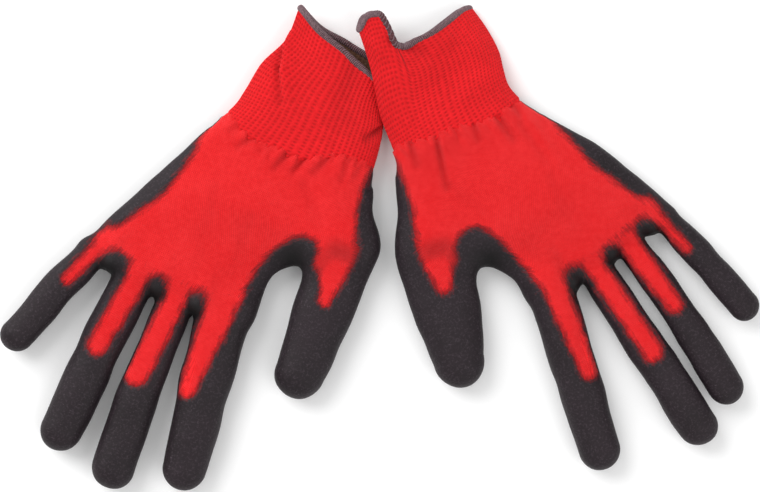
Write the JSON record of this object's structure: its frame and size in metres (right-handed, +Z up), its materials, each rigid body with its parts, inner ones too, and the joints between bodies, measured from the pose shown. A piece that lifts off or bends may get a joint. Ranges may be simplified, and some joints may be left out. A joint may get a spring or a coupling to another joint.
{
  "type": "gardening gloves",
  "caption": "Pair of knitted gardening gloves with dipped rubber palms and fingertips and ribbed cuffs, digits folding at two joints each.",
  "frame": {"origin": "centre of the pair's bounding box, on the ground under it", "axes": "+Z up out of the backs of the gloves, fingers towards -Y, cuffs towards +Y, the right-hand glove on the -X side"},
  "size_m": [0.3794, 0.2419, 0.0222],
  "materials": {
    "knit": "matte",
    "coating": "satin",
    "hem": "matte"
  },
  "bodies": {
    "right_hand": {"right_liner_hand": "knit", "right_coating_palm": "coating"},
    "right_cuff": {"right_cuff": "knit", "right_cuff_hem": "hem"},
    "right_index_lower": {"right_index_liner_lower": "knit", "right_index_coating_lower": "coating"},
    "right_index_tip": {"right_index_liner_tip": "knit", "right_index_coating_tip": "coating"},
    "right_middle_lower": {"right_middle_liner_lower": "knit", "right_middle_coating_lower": "coating"},
    "right_middle_tip": {"right_middle_liner_tip": "knit", "right_middle_coating_tip": "coating"},
    "right_ring_lower": {"right_ring_liner_lower": "knit", "right_ring_coating_lower": "coating"},
    "right_ring_tip": {"right_ring_liner_tip": "knit", "right_ring_coating_tip": "coating"},
    "right_little_lower": {"right_little_liner_lower": "knit", "right_little_coating_lower": "coating"},
    "right_little_tip": {"right_little_liner_tip": "knit", "right_little_coating_tip": "coating"},
    "right_thumb_lower": {"right_thumb_liner_lower": "knit", "right_thumb_coating_lower": "coating"},
    "right_thumb_tip": {"right_thumb_liner_tip": "knit", "right_thumb_coating_tip": "coating"},
    "left_hand": {"left_liner_hand": "knit", "left_coating_palm": "coating"},
    "left_cuff": {"left_cuff": "knit", "left_cuff_hem": "hem"},
    "left_index_lower": {"left_index_liner_lower": "knit", "left_index_coating_lower": "coating"},
    "left_index_tip": {"left_index_liner_tip": "knit", "left_index_coating_tip": "coating"},
    "left_middle_lower": {"left_middle_liner_lower": "knit", "left_middle_coating_lower": "coating"},
    "left_middle_tip": {"left_middle_liner_tip": "knit", "left_middle_coating_tip": "coating"},
    "left_ring_lower": {"left_ring_liner_lower": "knit", "left_ring_coating_lower": "coating"},
    "left_ring_tip": {"left_ring_liner_tip": "knit", "left_ring_coating_tip": "coating"},
    "left_little_lower": {"left_little_liner_lower": "knit", "left_little_coating_lower": "coating"},
    "left_little_tip": {"left_little_liner_tip": "knit", "left_little_coating_tip": "coating"},
    "left_thumb_lower": {"left_thumb_liner_lower": "knit", "left_thumb_coating_lower": "coating"},
    "left_thumb_tip": {"left_thumb_liner_tip": "knit", "left_thumb_coating_tip": "coating"}
  },
  "joints": [
    {"name": "right_wrist", "type": "hinge", "parent": "right_hand", "child": "right_cuff", "pos_m": [-0.0357, 0.0562, 0], "axis": [-0.9063, 0.4226, 0], "range_deg": [0, 60], "stiffness_Nm_per_rad": 0.12},
    {"name": "right_index_knuckle", "type": "hinge", "parent": "right_hand", "child": "right_index_lower", "pos_m": [-0.08174, -0.04782, 0.00034], "axis": [0.9664, -0.2571, 0], "range_deg": [0, 85], "stiffness_Nm_per_rad": 0.12},
    {"name": "right_index_middle", "type": "hinge", "parent": "right_index_lower", "child": "right_index_tip", "pos_m": [-0.0892, -0.07584, 0.00082], "axis": [0.9461, -0.3239, 0], "range_deg": [0, 90], "stiffness_Nm_per_rad": 0.08},
    {"name": "right_middle_knuckle", "type": "hinge", "parent": "right_hand", "child": "right_middle_lower", "pos_m": [-0.10744, -0.04063, 0.00182], "axis": [0.9317, -0.3633, 0], "range_deg": [0, 85], "stiffness_Nm_per_rad": 0.12},
    {"name": "right_middle_middle", "type": "hinge", "parent": "right_middle_lower", "child": "right_middle_tip", "pos_m": [-0.11906, -0.07045, 0.00124], "axis": [0.9317, -0.3633, 0], "range_deg": [0, 90], "stiffness_Nm_per_rad": 0.08},
    {"name": "right_ring_knuckle", "type": "hinge", "parent": "right_hand", "child": "right_ring_lower", "pos_m": [-0.13004, -0.03044, 0.00116], "axis": [0.8949, -0.4462, 0], "range_deg": [0, 85], "stiffness_Nm_per_rad": 0.12},
    {"name": "right_ring_middle", "type": "hinge", "parent": "right_ring_lower", "child": "right_ring_tip", "pos_m": [-0.14254, -0.0555, 0.00096], "axis": [0.9239, -0.3827, 0], "range_deg": [0, 90], "stiffness_Nm_per_rad": 0.08},
    {"name": "right_little_knuckle", "type": "hinge", "parent": "right_hand", "child": "right_little_lower", "pos_m": [-0.15204, -0.01103, 0.00301], "axis": [0.729, -0.6845, 0], "range_deg": [0, 80], "stiffness_Nm_per_rad": 0.12},
    {"name": "right_little_middle", "type": "hinge", "parent": "right_little_lower", "child": "right_little_tip", "pos_m": [-0.16436, -0.02415, 0.00282], "axis": [0.729, -0.6845, 0], "range_deg": [0, 80], "stiffness_Nm_per_rad": 0.08},
    {"name": "right_thumb_knuckle", "type": "hinge", "parent": "right_hand", "child": "right_thumb_lower", "pos_m": [-0.02538, -0.02348, 0.00059], "axis": [0.9342, -0.3567, 0], "range_deg": [0, 60], "stiffness_Nm_per_rad": 0.12},
    {"name": "right_thumb_middle", "type": "hinge", "parent": "right_thumb_lower", "child": "right_thumb_tip", "pos_m": [-0.03429, -0.04683, 0.00114], "axis": [0.9342, -0.3567, 0], "range_deg": [0, 70], "stiffness_Nm_per_rad": 0.08},
    {"name": "left_glove_lift", "type": "slide", "parent": "right_hand", "child": "left_hand", "axis": [0, 0, 1], "range_m": [0, 0.12]},
    {"name": "left_wrist", "type": "hinge", "parent": "left_hand", "child": "left_cuff", "pos_m": [0.0373, 0.0632, 0.0186], "axis": [0.829, 0.5592, 0], "range_deg": [0, 60], "stiffness_Nm_per_rad": 0.12},
    {"name": "left_index_knuckle", "type": "hinge", "parent": "left_hand", "child": "left_index_lower", "pos_m": [0.08967, -0.03591, 0.00034], "axis": [0.9532, 0.3024, 0], "range_deg": [0, 85], "stiffness_Nm_per_rad": 0.12},
    {"name": "left_index_middle", "type": "hinge", "parent": "left_index_lower", "child": "left_index_tip", "pos_m": [0.09874, -0.06451, 0.00045], "axis": [0.8942, 0.4478, 0], "range_deg": [0, 90], "stiffness_Nm_per_rad": 0.08},
    {"name": "left_middle_knuckle", "type": "hinge", "parent": "left_hand", "child": "left_middle_lower", "pos_m": [0.11707, -0.02545, 0.00217], "axis": [0.831, 0.5563, 0], "range_deg": [0, 85], "stiffness_Nm_per_rad": 0.12},
    {"name": "left_middle_middle", "type": "hinge", "parent": "left_middle_lower", "child": "left_middle_tip", "pos_m": [0.13543, -0.05287, 0.00169], "axis": [0.831, 0.5563, 0], "range_deg": [0, 90], "stiffness_Nm_per_rad": 0.08},
    {"name": "left_ring_knuckle", "type": "hinge", "parent": "left_hand", "child": "left_ring_lower", "pos_m": [0.13609, -0.01395, 0.00341], "axis": [0.8251, 0.565, 0], "range_deg": [0, 85], "stiffness_Nm_per_rad": 0.12},
    {"name": "left_ring_middle", "type": "hinge", "parent": "left_ring_lower", "child": "left_ring_tip", "pos_m": [0.15135, -0.03622, 0.00291], "axis": [0.8251, 0.565, 0], "range_deg": [0, 90], "stiffness_Nm_per_rad": 0.08},
    {"name": "left_little_knuckle", "type": "hinge", "parent": "left_hand", "child": "left_little_lower", "pos_m": [0.15182, 0.00466, 0.00383], "axis": [0.7325, 0.6807, 0], "range_deg": [0, 80], "stiffness_Nm_per_rad": 0.12},
    {"name": "left_little_middle", "type": "hinge", "parent": "left_little_lower", "child": "left_little_tip", "pos_m": [0.16407, -0.00853, 0.00361], "axis": [0.7325, 0.6807, 0], "range_deg": [0, 80], "stiffness_Nm_per_rad": 0.08},
    {"name": "left_thumb_knuckle", "type": "hinge", "parent": "left_hand", "child": "left_thumb_lower", "pos_m": [0.03181, -0.02237, 0.00068], "axis": [0.9715, 0.2368, 0], "range_deg": [0, 60], "stiffness_Nm_per_rad": 0.12},
    {"name": "left_thumb_middle", "type": "hinge", "parent": "left_thumb_lower", "child": "left_thumb_tip", "pos_m": [0.03702, -0.04374, 0.00146], "axis": [0.9715, 0.2368, 0], "range_deg": [0, 70], "stiffness_Nm_per_rad": 0.08}
  ]
}
